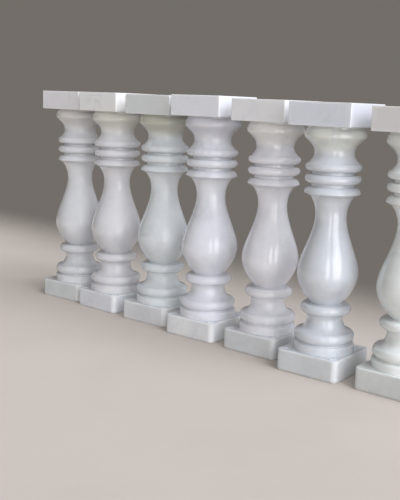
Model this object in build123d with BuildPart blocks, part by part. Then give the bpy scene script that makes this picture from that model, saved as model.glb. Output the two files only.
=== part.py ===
# Row of free-standing marble balusters, millimetres, +Z up, on a level floor.
import os
from build123d import *

os.makedirs("parts", exist_ok=True)

# Square ends, left from the sawn block
height = 600.0
plinth_side = 153.0
plinth_height = 49.0
plinth_corner = 12.0
plinth_arris = 3.0
abacus_side = 150.5
abacus_height = 50.0
abacus_arris = 1.5

# The levels below are marked on the turner's rod, from the plinth up; the rod is shortened
# for a stone with less room between its square ends
# Foot, torus, scotia and collar
foot_radius = 69.2
foot_top = 18.6
foot_round = 5.0
foot_groove_radius = 60.8
foot_groove = 20.4
torus_low = 22.2
torus_middle = 34.5
torus_high = 44.6
torus_radius = 68.6
torus_low_radius = 62.0
torus_high_radius = 63.5
scotia_radius = 40.8
scotia_middle = 76.0
collar_low = 84.4
collar_middle = 95.6
collar_high = 106.8
collar_radius = 57.8
collar_neck_radius = 45.0

# Vase
belly_foot = 108.4
belly_foot_radius = 36.5
belly_middle = 175.0
belly_radius = 69.2
vase_neck = 305.0
vase_neck_radius = 35.4
cove_top = 348.6
cove_radius = 50.8

# Arris ring, middle ring and top ring, with the grooves between them
groove_radius = 47.5
arris_ring_low = 350.8
arris_ring_low_radius = 55.0
arris_level = 355.8
arris_radius = 63.0
arris_ring_high = 370.4
middle_ring_low = 377.0
middle_ring_high = 397.0
middle_ring_radius = 62.7
top_ring_low = 403.6
top_ring_middle = 413.4
top_ring_high = 422.5
top_ring_radius = 63.0
top_ring_high_radius = 56.5
ring_seat_radius = 53.0

# Head
upper_neck = 443.0
upper_neck_radius = 45.0
echinus_middle = 481.0
echinus_high = 496.0
echinus_radius = 69.0
echinus_high_radius = 63.0
head_fillet = 5.0
rod_length = echinus_high + head_fillet

# The stones from the far end of the row to the near end, made and set down by hand: spacing
# to the stone before, distance behind the row's line, turn, loss of height, and girth
row_turn = 4.6
stones = [
    (0.0, -0.5, 0.8, 0.0, 1.0),
    (171.0, -1.0, -2.4, 0.0, 1.015),
    (188.0, 5.5, 1.3, 2.0, 1.0),
    (181.0, -3.0, 0.3, 0.0, 1.025),
    (189.5, 10.0, -1.3, 5.0, 0.985),
    (188.5, -16.5, 1.1, 7.0, 0.98),
    (194.0, 5.5, -0.1, 11.0, 1.0),
]


def part_way(start, end, share):
    """The value that lies this share of the way from start to end."""
    return start + (end - start) * share


def turned_outline(seat, girth):
    """Half outline of the turned part, between the plinth and an abacus seated at this height."""
    shrink = (seat - plinth_height) / rod_length

    def at(radius, level):
        return (radius * girth, plinth_height + level * shrink)

    with BuildSketch(Plane.XZ) as outline:
        with BuildLine():
            # Foot and torus, with the open groove between them
            Polyline(
                (0, seat),
                (0, plinth_height),
                at(foot_radius, 0),
                at(foot_radius, foot_top - foot_round),
            )
            ThreePointArc(
                at(foot_radius, foot_top - foot_round),
                at(foot_radius - foot_round * 0.29, foot_top - foot_round * 0.29),
                at(foot_radius - foot_round, foot_top),
            )
            ThreePointArc(
                at(foot_radius - foot_round, foot_top),
                at(foot_groove_radius, foot_groove),
                at(torus_low_radius, torus_low),
            )
            ThreePointArc(
                at(torus_low_radius, torus_low),
                at(torus_radius, torus_middle),
                at(torus_high_radius, torus_high),
            )
            # Scotia and collar
            Spline(
                at(torus_high_radius, torus_high),
                at(
                    part_way(torus_high_radius, scotia_radius, 0.71),
                    part_way(torus_high, scotia_middle, 0.27),
                ),
                at(
                    part_way(torus_high_radius, scotia_radius, 0.92),
                    part_way(torus_high, scotia_middle, 0.59),
                ),
                at(scotia_radius, scotia_middle),
                at(collar_neck_radius, collar_low),
                tangents=((-1, 0.25), (1, 1)),
            )
            ThreePointArc(
                at(collar_neck_radius, collar_low),
                at(collar_radius, collar_middle),
                at(collar_neck_radius, collar_high),
            )
            Line(at(collar_neck_radius, collar_high), at(belly_foot_radius, belly_foot))
            # Vase: the belly in one sweep, then the long neck and its cove
            Spline(
                at(belly_foot_radius, belly_foot),
                at(
                    part_way(belly_foot_radius, belly_radius, 0.685),
                    part_way(belly_foot, belly_middle, 0.47),
                ),
                at(belly_radius, belly_middle),
                tangents=((1, 1), (0, 1)),
            )
            Spline(
                at(belly_radius, belly_middle),
                at(
                    part_way(belly_radius, vase_neck_radius, 0.37),
                    part_way(belly_middle, vase_neck, 0.392),
                ),
                at(
                    part_way(belly_radius, vase_neck_radius, 0.80),
                    part_way(belly_middle, vase_neck, 0.708),
                ),
                at(vase_neck_radius, vase_neck),
                tangents=((0, 1), (0, 1)),
            )
            Spline(
                at(vase_neck_radius, vase_neck),
                at(
                    part_way(vase_neck_radius, cove_radius, 0.42),
                    part_way(vase_neck, cove_top, 0.70),
                ),
                at(cove_radius, cove_top),
                tangents=((0, 1), (1, 1)),
            )
            # Arris ring: flat below, sharp edge, rounded above
            Polyline(
                at(cove_radius, cove_top),
                at(arris_ring_low_radius, arris_ring_low),
                at(arris_radius, arris_level),
            )
            ThreePointArc(
                at(arris_radius, arris_level),
                at(
                    part_way(arris_radius, ring_seat_radius, 0.4),
                    part_way(arris_level, arris_ring_high, 0.62),
                ),
                at(groove_radius, arris_ring_high),
            )
            # Middle ring
            Polyline(
                at(groove_radius, arris_ring_high),
                at(groove_radius, middle_ring_low),
                at(ring_seat_radius, middle_ring_low),
            )
            ThreePointArc(
                at(ring_seat_radius, middle_ring_low),
                at(middle_ring_radius, part_way(middle_ring_low, middle_ring_high, 0.5)),
                at(ring_seat_radius, middle_ring_high),
            )
            # Top ring, which runs up into the neck of the head
            Polyline(
                at(ring_seat_radius, middle_ring_high),
                at(groove_radius, middle_ring_high),
                at(groove_radius, top_ring_low),
                at(ring_seat_radius, top_ring_low),
            )
            ThreePointArc(
                at(ring_seat_radius, top_ring_low),
                at(top_ring_radius, top_ring_middle),
                at(top_ring_high_radius, top_ring_high),
            )
            # Head: a waisted neck that swells into the echinus, which ends in a short fillet
            Bezier(
                at(top_ring_high_radius, top_ring_high),
                at(
                    part_way(top_ring_high_radius, upper_neck_radius, 0.6),
                    part_way(top_ring_high, upper_neck, 0.35),
                ),
                at(upper_neck_radius, part_way(top_ring_high, upper_neck, 0.55)),
                at(upper_neck_radius, upper_neck),
            )
            Bezier(
                at(upper_neck_radius, upper_neck),
                at(upper_neck_radius, part_way(upper_neck, echinus_middle, 0.57)),
                at(echinus_radius, part_way(upper_neck, echinus_middle, 0.745)),
                at(echinus_radius, echinus_middle),
            )
            ThreePointArc(
                at(echinus_radius, echinus_middle),
                at(
                    part_way(echinus_radius, echinus_high_radius, 0.26),
                    part_way(echinus_middle, echinus_high, 0.54),
                ),
                at(echinus_high_radius, echinus_high),
            )
            Polyline(at(echinus_high_radius, echinus_high), at(echinus_high_radius, rod_length), (0, seat))
        make_face()
    return outline.sketch


def baluster(loss, girth):
    """One stone: square plinth, turned shaft and square abacus, fused in one solid."""
    top = height - loss
    seat = top - abacus_height
    with BuildPart() as stone:
        with BuildSketch():
            RectangleRounded(plinth_side, plinth_side, plinth_corner)
        extrude(amount=plinth_height)
        fillet(stone.edges().group_by(Axis.Z)[-1], plinth_arris)
        with BuildSketch(Plane.XY.offset(seat)):
            Rectangle(abacus_side, abacus_side)
        extrude(amount=abacus_height)
        chamfer(stone.edges().group_by(Axis.Z)[-1], abacus_arris)
        add(turned_outline(seat, girth))
        revolve(axis=Axis.Z)
    return stone.part


along = 0.0
row = []
for spacing, behind, turn, loss, girth in stones:
    along += spacing
    row.append(Pos(along, behind, 0) * Rot(0, 0, row_turn + turn) * baluster(loss, girth))

# The row's frame: centre of its outline on the floor
outline = Compound([stone.solid() for stone in row]).bounding_box()
centre = outline.center()
for number, stone in enumerate(row, start=1):
    placed = Pos(-centre.X, -centre.Y, 0) * stone.solid()
    placed.label = f"baluster_{number}"
    export_step(placed, f"parts/{placed.label}.step")
    middle = placed.center()
    print(placed.label, f"{middle.X:.2f} {middle.Y:.2f}", f"{placed.volume / 1e6:.3f} litres", placed.is_valid)
print("row", outline.size, "moved by", -centre)
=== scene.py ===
import math
import bpy
import numpy as np
from mathutils import Matrix, Vector


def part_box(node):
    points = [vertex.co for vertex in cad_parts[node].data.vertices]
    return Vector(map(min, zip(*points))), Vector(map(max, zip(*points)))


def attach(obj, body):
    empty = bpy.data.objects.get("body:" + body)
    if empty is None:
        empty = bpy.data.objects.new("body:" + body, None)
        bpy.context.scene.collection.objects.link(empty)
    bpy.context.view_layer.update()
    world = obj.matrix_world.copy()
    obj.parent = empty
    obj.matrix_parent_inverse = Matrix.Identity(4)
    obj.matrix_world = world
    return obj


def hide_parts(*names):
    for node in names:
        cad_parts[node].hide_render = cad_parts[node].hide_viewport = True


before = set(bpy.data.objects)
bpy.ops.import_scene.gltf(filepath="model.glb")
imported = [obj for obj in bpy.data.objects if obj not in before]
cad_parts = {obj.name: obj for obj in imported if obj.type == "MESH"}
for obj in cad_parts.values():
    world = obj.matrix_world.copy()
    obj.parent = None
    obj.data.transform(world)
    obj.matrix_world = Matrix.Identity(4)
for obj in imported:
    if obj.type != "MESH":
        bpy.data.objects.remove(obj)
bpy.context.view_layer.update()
perMetre = 1000   # the stone's shape is in millimetres, the scene in metres
print("frame loaded:", len(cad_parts), "nodes")

# Camera, worked out from the corners of the stones in the photograph; angles in degrees
cameraSetup = {
    "place": (1.3943, -1.4710, 0.5815),
    "turn": -42.476,   # from +Y towards +X
    "down": 10.418,
    "roll": -2.129,
    "lens": 58.73,
    "shift": (-0.0542, 0.008),
}


def makeCamera(setup):
    turn, down, roll = (math.radians(setup[k]) for k in ("turn", "down", "roll"))
    ahead = Vector((math.sin(turn) * math.cos(down), math.cos(turn) * math.cos(down), -math.sin(down)))
    right = ahead.cross(Vector((0, 0, 1))).normalized()
    under = ahead.cross(right)
    rolledRight = math.cos(roll) * right + math.sin(roll) * under
    rolledUnder = -math.sin(roll) * right + math.cos(roll) * under
    lens = bpy.data.cameras.new("camera")
    lens.lens = setup["lens"]
    lens.shift_x, lens.shift_y = setup["shift"]
    camera = bpy.data.objects.new("camera", lens)
    basis = Matrix((rolledRight, -rolledUnder, -ahead)).transposed()
    camera.matrix_world = Matrix.Translation(setup["place"]) @ basis.to_4x4()
    bpy.context.collection.objects.link(camera)
    bpy.context.scene.camera = camera


makeCamera(cameraSetup)
print("camera placed")

# Square ends of a stone: half widths, corner and arris radii, and the levels of the plain rings on
# their upright faces. An inset is the ring on a flat face: how far in, and how much rounder
endShape = {
    "plinthHalf": 76.5,
    "plinthHeight": 49.0,
    "plinthCorner": 12.0,
    "plinthArris": 3.0,
    "plinthBevel": 0.8,   # along the floor
    "plinthRings": (4.0, 15.0, 30.0, 43.0),
    "plinthInset": (2.0, 6.0),
    "abacusHalf": 75.25,
    "abacusHeight": 50.0,
    "abacusCorner": 1.4,
    "abacusArris": 1.5,
    "abacusRings": (5.0, 16.0, 34.0, 45.0),   # above the underside
    "undersideInset": (4.0, 2.0),
    "topInset": (2.0, 0.0),
    "arrisRings": 6,
}

# Turned part: radius and level above the plinth, on a stone of full height. A way holds the points
# between two others, as shares of the way out and up
turnedShape = {
    "foot": (69.2, 18.6),
    "footRound": 5.0,
    "roundMiddle": 0.29,   # how far in the middle of a quarter circle lies
    "footGroove": (60.8, 20.4),
    "torusLow": (62.0, 22.2),
    "torus": (68.6, 34.5),
    "torusHigh": (63.5, 44.6),
    "scotiaWay": [(0.71, 0.27), (0.92, 0.59)],
    "scotia": (40.8, 76.0),
    "collarLow": (45.0, 84.4),
    "collar": (57.8, 95.6),
    "collarHigh": (45.0, 106.8),
    "bellyFoot": (36.5, 108.4),
    "bellyWay": [(0.685, 0.47)],
    "belly": (69.2, 175.0),
    "vaseWay": [(0.37, 0.392), (0.80, 0.708)],
    "vaseNeck": (35.4, 305.0),
    "coveWay": [(0.42, 0.70)],
    "cove": (50.8, 348.6),
    "arrisLow": (55.0, 350.8),
    "arris": (63.0, 355.8),
    "arrisShare": (0.40, 0.62),
    "arrisHigh": (47.5, 370.4),
    "middleRing": (62.7, 387.0),
    "middleRingHalf": 10.0,
    "topRingLow": 403.6,
    "topRing": (63.0, 413.4),
    "topRingHigh": (56.5, 422.5),
    "neckWay": [(0.6, 0.35), (1.0, 0.55)],
    "groove": 47.5,
    "ringSeat": 53.0,
    "upperNeck": (45.0, 443.0),
    "headWay": [(0.0, 0.57), (1.0, 0.745)],
    "echinus": (69.0, 481.0),
    "echinusWay": [(0.26, 0.54)],
    "echinusHigh": (63.0, 496.0),
    "rod": 501.0,
}


def partWay(start, end, outShare, upShare):
    # Point that lies these shares of the way out and up between two points
    return np.array(start) + (np.array(end) - np.array(start)) * (outShare, upShare)


def straight(points, count=1):
    # Straight runs through the points, each cut in count pieces
    points = np.array(points, float)
    t = np.linspace(0, 1, count, endpoint=False)[:, None]
    runs = [a + (b - a) * t for a, b in zip(points[:-1], points[1:])]
    return np.vstack(runs + [points[-1:]])


def arc(start, middle, end, count):
    # Circle through three points: centre where the halving lines of both chords meet
    a, b, c = (np.array(p, float) for p in (start, middle, end))
    centre = np.linalg.solve(2 * np.array([b - a, c - b]), [b @ b - a @ a, c @ c - b @ b])
    first, half, last = (math.atan2(p[1] - centre[1], p[0] - centre[0]) for p in (a, b, c))
    sweep = (last - first) % (2 * math.pi)
    if (half - first) % (2 * math.pi) > sweep:
        sweep -= 2 * math.pi
    turns = first + sweep * np.linspace(0, 1, count)
    return centre + math.dist(a, centre) * np.c_[np.cos(turns), np.sin(turns)]


def bend(corners, count):
    # Bezier curve: corners weighted by the binomial terms of t and 1 - t
    corners = np.array(corners, float)
    t = np.linspace(0, 1, count)[:, None]
    n = len(corners) - 1
    return sum(math.comb(n, k) * t**k * (1 - t) ** (n - k) * corners[k] for k in range(n + 1))


def flowing(points, firstWay, lastWay, count):
    # Cubic line through the points with even curvature and set directions at both ends
    points = np.array(points, float)
    span = np.linalg.norm(np.diff(points, axis=0), axis=1)
    ways = [np.array(w, float) / math.hypot(*w) for w in (firstWay, lastWay)]
    size = len(points)
    grid, value = np.eye(size), np.zeros((size, 2))
    value[0], value[-1] = ways
    for i in range(1, size - 1):
        grid[i, i - 1:i + 2] = span[i], 2 * (span[i - 1] + span[i]), span[i - 1]
        before, after = (points[i] - points[i - 1]) / span[i - 1], (points[i + 1] - points[i]) / span[i]
        value[i] = 3 * (span[i] * before + span[i - 1] * after)
    slopes = np.linalg.solve(grid, value)
    t = np.linspace(0, 1, count, endpoint=False)[:, None]
    parts = []
    for i in range(size - 1):
        a, b, da, db = points[i], points[i + 1], slopes[i] * span[i], slopes[i + 1] * span[i]
        parts.append(a + da * t + (3 * (b - a) - 2 * da - db) * t**2 + (2 * (a - b) + da + db) * t**3)
    return np.vstack(parts + [points[-1:]])


def turnedOutline(s):
    # Radius and level of the turned part, from the plinth up to the abacus. The last number of a
    # curve is its count of steps
    (foot, footHigh), r = s["foot"], s["footRound"]
    middle = r * s["roundMiddle"]
    seat, groove = s["ringSeat"], s["groove"]
    ring, ringHalf = s["middleRing"], s["middleRingHalf"]
    low, high = ring[1] - ringHalf, ring[1] + ringHalf
    arrisRound = partWay(s["arris"], (seat, s["arrisHigh"][1]), *s["arrisShare"])

    def way(start, between, end):
        return [s[start], *(partWay(s[start], s[end], *shares) for shares in s[between]), s[end]]

    curves = [
        straight([(foot, 0), (foot, footHigh - r)], 4),
        arc((foot, footHigh - r), (foot - middle, footHigh - middle), (foot - r, footHigh), 7),
        arc((foot - r, footHigh), s["footGroove"], s["torusLow"], 8),
        arc(s["torusLow"], s["torus"], s["torusHigh"], 20),
        flowing(way("torusHigh", "scotiaWay", "scotia") + [s["collarLow"]], (-1, 0.25), (1, 1), 7),
        arc(s["collarLow"], s["collar"], s["collarHigh"], 22),
        straight([s["collarHigh"], s["bellyFoot"]]),
        flowing(way("bellyFoot", "bellyWay", "belly"), (1, 1), (0, 1), 14),
        flowing(way("belly", "vaseWay", "vaseNeck"), (0, 1), (0, 1), 9),
        flowing(way("vaseNeck", "coveWay", "cove"), (0, 1), (1, 1), 8),
        straight([s["cove"], s["arrisLow"], s["arris"]], 2),
        arc(s["arris"], arrisRound, s["arrisHigh"], 12),
        straight([s["arrisHigh"], (groove, low), (seat, low)], 2),
        arc((seat, low), ring, (seat, high), 20),
        straight([(seat, high), (groove, high), (groove, s["topRingLow"]), (seat, s["topRingLow"])], 2),
        arc((seat, s["topRingLow"]), s["topRing"], s["topRingHigh"], 18),
        bend(way("topRingHigh", "neckWay", "upperNeck"), 12),
        bend(way("upperNeck", "headWay", "echinus"), 24),
        arc(*way("echinus", "echinusWay", "echinusHigh"), 10),
        straight([s["echinusHigh"], (s["echinusHigh"][0], s["rod"])]),
    ]
    return np.vstack([curve[:-1] for curve in curves] + [curves[-1][-1:]])


def aroundAngles():
    # One turn, closer together where the square ends have their corners, at 45 degrees
    plain = np.arange(0, 34.5, 3.0)
    eighth = np.r_[plain, 35.4, 37.4, 39.2, 40.7, 42.0, 43.1, 44.0, 44.46]
    quarter = np.r_[eighth, 45.0, 90.0 - eighth[:0:-1]]
    return np.radians(np.concatenate([quarter + 90.0 * k for k in range(4)]))


def sectionRadius(angles, half, corner):
    # Distance from the axis to a rounded square; with corner equal to half it is a circle
    folded = np.abs((angles + math.pi / 4) % (math.pi / 2) - math.pi / 4)
    half, corner = half[:, None], corner[:, None]
    flat = half / np.cos(folded)
    reach = (half - corner) * (np.cos(folded) + np.sin(folded))
    rounded = reach + np.sqrt(np.maximum(reach**2 - 2 * (half - corner) ** 2 + corner**2, 0))
    return np.where(half * np.tan(folded) <= half - corner, flat, rounded)


def stoneRings(top, girth):
    # Rings up the stone: half width, corner radius, level, and 1 where the ring is a worn arris
    s = endShape
    seat = top - s["abacusHeight"]

    def rounded(half, corner, arris, level, start):
        # Quarter circle in half width and level, round a centre at this level
        turns = np.linspace(start, start + math.pi / 2, s["arrisRings"])
        return [(half - arris + arris * math.cos(v), corner, level + arris * math.sin(v), 1) for v in turns]

    half, corner, arris, high = s["plinthHalf"], s["plinthCorner"], s["plinthArris"], s["plinthHeight"]
    bevel, (inset, rounder) = s["plinthBevel"], s["plinthInset"]
    rings = [(half - bevel, corner, 0.0, 1), (half, corner, bevel, 1)]
    rings += [(half, corner, level, 0) for level in s["plinthRings"]]
    rings += rounded(half, corner, arris, high - arris, 0)
    rings += [(half - arris - inset, corner + rounder, high, 0)]

    shrink = (seat - high) / turnedShape["rod"]
    for radius, level in turnedOutline(turnedShape):
        rings.append((radius * girth, radius * girth, high + level * shrink, 0))

    half, corner, arris = s["abacusHalf"], s["abacusCorner"], s["abacusArris"]
    inset, rounder = s["undersideInset"]
    rings += [(half - inset, corner + rounder, seat, 0)]
    rings += rounded(half, corner, arris, seat + arris, -math.pi / 2)
    rings += [(half, corner, seat + level, 0) for level in s["abacusRings"]]
    rings += rounded(half, corner, arris, top - arris, 0)
    inset, rounder = s["topInset"]
    rings += [(half - arris - inset, corner + rounder, top, 0)]
    return np.array(rings).T


# Degrees: where faces meet at more than sharpAngle they aren't shaded as one curve, and a square
# end's upright corner is worn this far to each side
meshSetup = {
    "sharpAngle": 40.0,
    "cornerWear": 5.0,
}


def gridFaces(rings, around):
    # Quads between neighbouring rings, and one flat face that closes each end
    i = np.arange(rings - 1)[:, None] * around
    j = np.arange(around)
    nextJ = (j + 1) % around
    quads = np.stack([i + j, i + nextJ, i + around + nextJ, i + around + j], axis=-1).reshape(-1, 4)
    underside = tuple(range(around - 1, -1, -1))
    top = tuple(range((rings - 1) * around, rings * around))
    return [underside, *quads.tolist(), top]


def makeStone(name, node, look):
    # Grid of ring by angle: x and y are the section's distance from the axis, turned with the stone
    low, high = (np.array(v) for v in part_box(node))
    half, corner, level, arris = stoneRings(high[2] * perMetre, look["girth"])
    angles = aroundAngles()
    corner = np.minimum(corner, half)
    reach = sectionRadius(angles, half, corner)
    turn = math.radians(look["turn"])
    x = (reach * np.cos(angles + turn) / perMetre + (low[0] + high[0]) / 2).ravel()
    y = (reach * np.sin(angles + turn) / perMetre + (low[1] + high[1]) / 2).ravel()
    z = np.repeat(level / perMetre, len(angles))
    mesh = bpy.data.meshes.new(name)
    mesh.from_pydata(np.c_[x, y, z].tolist(), [], gridFaces(*reach.shape))
    mesh.polygons.foreach_set("use_smooth", np.ones(len(mesh.polygons), bool))
    mesh.set_sharp_from_angle(angle=math.radians(meshSetup["sharpAngle"]))
    nearCorner = np.abs((angles % (math.pi / 2)) - math.pi / 4) < math.radians(meshSetup["cornerWear"])
    worn = np.maximum(arris[:, None], (corner < half)[:, None] & nearCorner[None, :])
    mesh.attributes.new("worn", "FLOAT", "POINT").data.foreach_set("value", worn.astype(np.float32).ravel())
    stone = bpy.data.objects.new(name, mesh)
    bpy.context.collection.objects.link(stone)
    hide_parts(node)
    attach(stone, "root")
    return stone


class Wire:
    # A socket that can be used in sums, so that shader maths reads as maths
    def __init__(self, paint, socket):
        self.paint, self.socket = paint, socket

    def maths(self, kind, *others):
        return self.paint.node("ShaderNodeMath", {"operation": kind}, dict(enumerate((self,) + others)))

    def __add__(self, other):
        return self.maths("ADD", other)

    def __radd__(self, other):
        return self.maths("ADD", other)

    def __sub__(self, other):
        return self.maths("SUBTRACT", other)

    def __rsub__(self, other):
        return (self * -1).maths("ADD", other)

    def __mul__(self, other):
        return self.maths("MULTIPLY", other)

    def __rmul__(self, other):
        return self.maths("MULTIPLY", other)

    def between(self, low, high):
        # 0 at low and under, 1 at high and over, smooth in between
        return self.paint.node("ShaderNodeMapRange", {"interpolation_type": "SMOOTHSTEP"},
                               {"Value": self, "From Min": low, "From Max": high})


class Paint:
    # The node tree of one material, or of the world
    def __init__(self, owner, shader="Principled BSDF"):
        self.owner = owner
        owner.use_nodes = True
        self.tree = owner.node_tree
        self.shader = self.tree.nodes[shader]

    def node(self, kind, settings=None, sockets=None, output=0):
        made = self.tree.nodes.new(kind)
        for key, value in (settings or {}).items():
            setattr(made, key, value)
        for key, value in (sockets or {}).items():
            self.plug(made.inputs[key], value)
        return Wire(self, made.outputs[output])

    def plug(self, socket, value):
        if isinstance(value, Wire):
            self.tree.links.new(value.socket, socket)
        else:
            socket.default_value = value

    def noise(self, place, pattern, output=0):
        # A pattern is its waves to the metre, its detail and its roughness
        scale, detail, rough = pattern
        sockets = {"Vector": place, "Scale": scale, "Detail": detail, "Roughness": rough}
        return self.node("ShaderNodeTexNoise", {}, sockets, output)

    def mix(self, share, first, second):
        first, second = (v if isinstance(v, Wire) else (*v, 1.0) for v in (first, second))
        return self.node("ShaderNodeMix", {"data_type": "RGBA"}, {0: share, 6: first, 7: second}, 2)

    def set(self, name, value):
        self.plug(self.shader.inputs[name], value)

    def seen(self):
        # 1 for what the lens, polish and glass see, 0 for the light that surfaces give each other
        kinds = ("Is Camera Ray", "Is Glossy Ray", "Is Transmission Ray")
        lens, polish, glass = (self.node("ShaderNodeLightPath", output=kind) for kind in kinds)
        return lens.maths("MAXIMUM", polish).maths("MAXIMUM", glass)

    def blendInto(self, second, share, output):
        # The shader gives way to a second one by this share, at the tree's output
        sockets = {0: share, 1: Wire(self, self.shader.outputs[0]), 2: second}
        blend = self.node("ShaderNodeMixShader", {}, sockets)
        self.tree.links.new(blend.socket, self.tree.nodes[output].inputs["Surface"])


# Marble, metres. A span is where a pattern or level starts to count and where it counts in full,
# and strengths and shares go from 0 to 1
marbleSetup = {
    "clouds": (11.0, 5.0, 0.6),
    "cloudSpan": (0.35, 0.65),
    "cloudShade": 0.93,
    "push": (5.0, 3.0, 0.5),   # bends the veins
    "pushReach": (0.18, 0.18, 0.30),
    "veins": (6.0, 5.0, 0.6),
    "veinWidth": 0.035,
    "veinSpan": (0.45, 0.70),
    "veinShare": 0.3,
    "vein": (0.50, 0.52, 0.55),
    "specks": (75.0, 4.0, 0.65),
    "speckSpan": (0.45, 0.75),
    "speckShare": 0.09,
    "sawnSpeckShare": 0.07,   # comes on top, on the plinth
    "grain": (260.0, 3.0, 0.6),
    "sawnSpan": (0.38, 0.62),
    "sawnShades": (1.03, 0.95),
    # The head band is where the painted shade and warm bounce light under the abacus fade in
    "headBand": (0.065, 0.035),   # below the abacus
    "capEdge": 0.002,
    "plinthSpan": (0.047, 0.050),
    "wornSpan": (0.35, 0.60),
    "wornShare": 0.35,
    "worn": (0.82, 0.82, 0.82),
    # Dust, and painted contact shade, darken the plinth's foot along the floor
    "dustAndShadeHeight": 0.006,
    "dustAndShadeUneven": 0.012,
    "dustAndShadeShare": 0.6,
    "dustAndShade": (0.36, 0.34, 0.31),
    "polished": 0.12,
    "polishSpan": (0.3, 0.7),
    "polishUneven": 0.03,
    "sawn": 0.42,
    "wornRough": 0.08,
    "index": 1.6,
    "gloss": 0.8,
    "coat": 0.7,
    "coatRough": 0.12,
    "glow": 0.5,
    "glowReach": (1.0, 0.95, 0.9),
    "glowDepth": 0.006,
    "waves": (30.0, 2.0, 0.5),
    "grainHeight": 0.05,
    "sawnGrainHeight": 0.25,
    "bump": 0.22,
    "bumpDepth": 0.0005,
}
patternMiddle = 0.5   # half of a pattern lies under this value
lightest = 0.85       # no marble is lighter


def shaded(colour, share):
    # The same colour, lighter or darker by a share
    return tuple(min(v * share, lightest) for v in colour)


def makeMarble(name, seat, look, setup):
    # Seat is the level of the abacus's underside
    paint = Paint(bpy.data.materials.new(name))
    place = paint.node("ShaderNodeTexCoord", output="Object")
    level = paint.node("ShaderNodeSeparateXYZ", {}, {"Vector": place}, "Z")
    clouds = paint.noise(place, setup["clouds"])
    specks = paint.noise(place, setup["specks"])
    grain = paint.noise(place, setup["grain"])
    push = paint.noise(place, setup["push"], output="Color")
    bent = paint.node("ShaderNodeVectorMath", {"operation": "MULTIPLY_ADD"},
                      {0: push, 1: setup["pushReach"], 2: place})
    veins = paint.noise(bent, setup["veins"])
    nearVein = 1.0 - (veins - patternMiddle).maths("ABSOLUTE").between(0.0, setup["veinWidth"])
    # Masks: painted shade under the abacus (the head band), cap, sawn plinth, worn arrises, dust and painted
    # contact shade along the floor
    bandLow, bandHigh = setup["headBand"]
    head = level.between(seat - bandLow, seat - bandHigh)
    cap = level.between(seat - setup["capEdge"], seat)
    plinth = 1.0 - level.between(*setup["plinthSpan"])
    worn = paint.node("ShaderNodeAttribute", {"attribute_name": "worn"}, output="Fac")
    dustAndShade = 1.0 - (level + (grain - patternMiddle) * setup["dustAndShadeUneven"]).between(0.0, setup["dustAndShadeHeight"])
    # Colour, from the body out to the dust and painted contact shade
    cloudy = shaded(look["tone"], setup["cloudShade"])
    sawnLight, sawnDark = (shaded(look["plinth"], share) for share in setup["sawnShades"])
    speckShare = plinth * setup["sawnSpeckShare"] + setup["speckShare"]
    base = paint.mix(clouds.between(*setup["cloudSpan"]), look["tone"], cloudy)
    # Painted shade and warm bounce light on the echinus and upper neck, under the abacus
    base = paint.mix(head, base, look["head"])
    base = paint.mix(cap, base, look["cap"])
    base = paint.mix(plinth, base, paint.mix(clouds.between(*setup["sawnSpan"]), sawnLight, sawnDark))
    base = paint.mix(nearVein * clouds.between(*setup["veinSpan"]) * setup["veinShare"], base, setup["vein"])
    base = paint.mix(specks.between(*setup["speckSpan"]) * speckShare, base, setup["vein"])
    base = paint.mix(worn * specks.between(*setup["wornSpan"]) * setup["wornShare"], base, setup["worn"])
    # Dust, and painted contact shade where the plinth meets the floor
    base = paint.mix(dustAndShade * setup["dustAndShadeShare"], base, setup["dustAndShade"])
    paint.set("Base Color", base)
    # Polish on all but the sawn plinth
    uneven = (clouds.between(*setup["polishSpan"]) + grain) * setup["polishUneven"]
    sawn = plinth * (setup["sawn"] - setup["polished"])
    paint.set("Roughness", uneven + setup["polished"] + sawn + worn * setup["wornRough"])
    paint.set("IOR", setup["index"])
    paint.set("Specular IOR Level", setup["gloss"])
    paint.set("Coat Weight", (1.0 - plinth) * setup["coat"])
    paint.set("Coat Roughness", setup["coatRough"])
    # Light that goes a little way into the stone
    paint.set("Subsurface Weight", setup["glow"])
    paint.set("Subsurface Radius", setup["glowReach"])
    paint.set("Subsurface Scale", setup["glowDepth"])
    # Small waves of hand polishing, and grain
    waves = paint.noise(place, setup["waves"])
    height = waves + grain * (plinth * setup["sawnGrainHeight"] + setup["grainHeight"])
    bump = {"Strength": setup["bump"], "Distance": setup["bumpDepth"], "Height": height}
    paint.set("Normal", paint.node("ShaderNodeBump", {}, bump))
    return paint.owner


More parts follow.
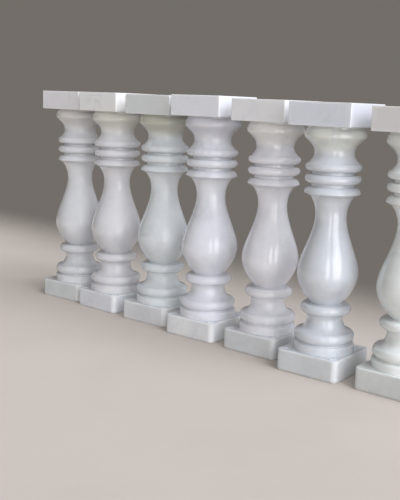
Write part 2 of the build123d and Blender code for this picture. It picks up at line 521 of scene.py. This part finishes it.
# Turn in degrees, girth and colours of the stones, from the far end of the row to the near end
# head: painted shade and warm bounce light under the abacus, laid over the tone
stoneLooks = {
    "baluster_1": {
        "turn": 5.4,
        "girth": 1.0,
        "tone": (0.71, 0.72, 0.75),
        "head": (0.65, 0.63, 0.61),
        "cap": (0.77, 0.75, 0.78),
        "plinth": (0.65, 0.67, 0.68),
    },
    "baluster_2": {
        "turn": 2.2,
        "girth": 1.015,
        "tone": (0.72, 0.72, 0.75),
        "head": (0.68, 0.67, 0.61),
        "cap": (0.85, 0.85, 0.85),
        "plinth": (0.77, 0.79, 0.84),
    },
    "baluster_3": {
        "turn": 5.9,
        "girth": 1.0,
        "tone": (0.73, 0.77, 0.80),
        "head": (0.52, 0.52, 0.44),
        "cap": (0.68, 0.70, 0.70),
        "plinth": (0.70, 0.71, 0.73),
    },
    "baluster_4": {
        "turn": 4.9,
        "girth": 1.025,
        "tone": (0.78, 0.79, 0.85),
        "head": (0.65, 0.65, 0.70),
        "cap": (0.79, 0.80, 0.85),
        "plinth": (0.81, 0.82, 0.85),
    },
    "baluster_5": {
        "turn": 3.3,
        "girth": 0.985,
        "tone": (0.80, 0.80, 0.85),
        "head": (0.81, 0.79, 0.77),
        "cap": (0.83, 0.83, 0.85),
        "plinth": (0.69, 0.71, 0.73),
    },
    "baluster_6": {
        "turn": 5.7,
        "girth": 0.98,
        "tone": (0.68, 0.71, 0.76),
        "head": (0.73, 0.75, 0.70),
        "cap": (0.73, 0.75, 0.81),
        "plinth": (0.66, 0.68, 0.70),
    },
    "baluster_7": {
        "turn": 4.5,
        "girth": 1.0,
        "tone": (0.82, 0.85, 0.84),
        "head": (0.78, 0.80, 0.75),
        "cap": (0.73, 0.71, 0.71),
        "plinth": (0.66, 0.68, 0.67),
    },
}

for node, look in stoneLooks.items():
    stone = makeStone(node + "_stone", node, look)
    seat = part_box(node)[1][2] - endShape["abacusHeight"] / perMetre
    stone.data.materials.append(makeMarble(node + "_marble", seat, look, marbleSetup))
print("stones made:", len(stoneLooks))

# Suns: compass from +X towards +Y, height above the floor and spread of the soft disc, all in degrees
coolTint, warmTint, plainTint = (0.965, 0.985, 1.05), (1.0, 0.985, 0.965), (1.0, 1.0, 1.0)
sunSetup = {
    "high": {
        "compass": 0, "height": 60, "spread": 40,
        "strength": 0.48, "tint": coolTint, "gloss": True,
    },
    "right": {
        "compass": 0, "height": 35, "spread": 40,
        "strength": 1.48, "tint": coolTint, "gloss": False,
    },
    "rightLow": {
        "compass": 0, "height": 20, "spread": 60,
        "strength": 1.82, "tint": coolTint, "gloss": False,
    },
    "frontLow": {
        "compass": -50, "height": 10, "spread": 50,
        "strength": 1.38, "tint": warmTint, "gloss": False,
    },
    "back": {
        "compass": 60, "height": 40, "spread": 60,
        "strength": 0.34, "tint": plainTint, "gloss": False,
    },
}

# Panels that only the polish sees, each as a tall streak
panelSetup = {
    "door": {
        "size": (0.80, 0.84),
        "place": (1.33, -0.25, 0.43),
        "aim": (0.36, -0.01, 0.43),
        "power": 4.1,
    },
    "slot": {
        "size": (0.20, 0.80),
        "place": (0.95, -0.85, 0.42),
        "aim": (0.10, 0.00, 0.42),
        "power": 1.0,
    },
}


def hangLamp(name, light, place, back):
    # A lamp shines along its own -Z, so its Z points back, away from what it lights
    lamp = bpy.data.objects.new(name, light)
    lamp.matrix_world = Matrix.Translation(place) @ back.to_track_quat("Z", "Y").to_matrix().to_4x4()
    bpy.context.collection.objects.link(lamp)
    return lamp


def makeSun(name, setup):
    light = bpy.data.lights.new(name, "SUN")
    light.energy, light.angle = setup["strength"], math.radians(setup["spread"])
    light.color = setup["tint"]
    compass, height = math.radians(setup["compass"]), math.radians(setup["height"])
    flat = math.cos(height)
    back = Vector((flat * math.cos(compass), flat * math.sin(compass), math.sin(height)))
    hangLamp(name, light, (0, 0, 0), back).visible_glossy = setup["gloss"]


def makePanel(name, setup):
    light = bpy.data.lights.new(name, "AREA")
    light.shape = "RECTANGLE"
    light.size, light.size_y = setup["size"]
    light.energy = setup["power"]
    lamp = hangLamp(name, light, setup["place"], Vector(setup["place"]) - Vector(setup["aim"]))
    lamp.visible_diffuse = lamp.visible_camera = False


worldSetup = {
    "light": 0.2,
    "shown": (0.17, 0.155, 0.14),
}


def makeWorld(setup):
    # The lens and the polish see the plain backdrop, everything else gets the soft light
    paint = Paint(bpy.data.worlds.new("studio"), "Background")
    paint.set("Color", (1, 1, 1, 1))
    paint.set("Strength", setup["light"])
    backdrop = paint.node("ShaderNodeBackground", {}, {"Color": (*setup["shown"], 1)})
    paint.blendInto(backdrop, paint.seen(), "World Output")
    bpy.context.scene.world = paint.owner


for name, setup in sunSetup.items():
    makeSun(name, setup)
for name, setup in panelSetup.items():
    makePanel(name, setup)
makeWorld(worldSetup)

# Floor, metres: it fades into the backdrop from one distance to the other, behind the row and all round
floorSetup = {
    "half": 30.0,
    "colour": (0.648, 0.585, 0.532),
    "givenBack": (0.50, 0.465, 0.43),   # what the stones get back, a little less than the lens sees
    "stains": (2.5, 4.0, 0.5),
    "stainSpan": (0.40, 0.75),
    "stainShare": 0.3,
    "stain": (0.54, 0.485, 0.44),
    "rough": 0.85,
    "behind": (0.15, 0.9),
    "round": (2.5, 7.0),
}


def makeFloor(setup):
    mesh = bpy.data.meshes.new("floor")
    w = setup["half"]
    mesh.from_pydata([(-w, -w, 0), (w, -w, 0), (w, w, 0), (-w, w, 0)], [], [(0, 1, 2, 3)])
    floor = bpy.data.objects.new("floor", mesh)
    bpy.context.collection.objects.link(floor)
    paint = Paint(bpy.data.materials.new("floor"))
    place = paint.node("ShaderNodeTexCoord", output="Object")
    stains = paint.noise(place, setup["stains"]).between(*setup["stainSpan"]) * setup["stainShare"]
    paving = paint.mix(stains, setup["colour"], setup["stain"])
    paint.set("Base Color", paint.mix(paint.seen(), setup["givenBack"], paving))
    paint.set("Roughness", setup["rough"])
    paint.set("Specular IOR Level", 0.0)   # matt, so that the panels don't show in it
    back = paint.node("ShaderNodeSeparateXYZ", {}, {"Vector": place}, "Y")
    away = paint.node("ShaderNodeVectorMath", {"operation": "LENGTH"}, {0: place}, "Value")
    fade = back.between(*setup["behind"]).maths("MAXIMUM", away.between(*setup["round"]))
    clear = paint.node("ShaderNodeBsdfTransparent")
    paint.blendInto(clear, fade, "Material Output")
    mesh.materials.append(paint.owner)


makeFloor(floorSetup)
bpy.context.scene.view_settings.view_transform = "Standard"
print("lights and floor made")
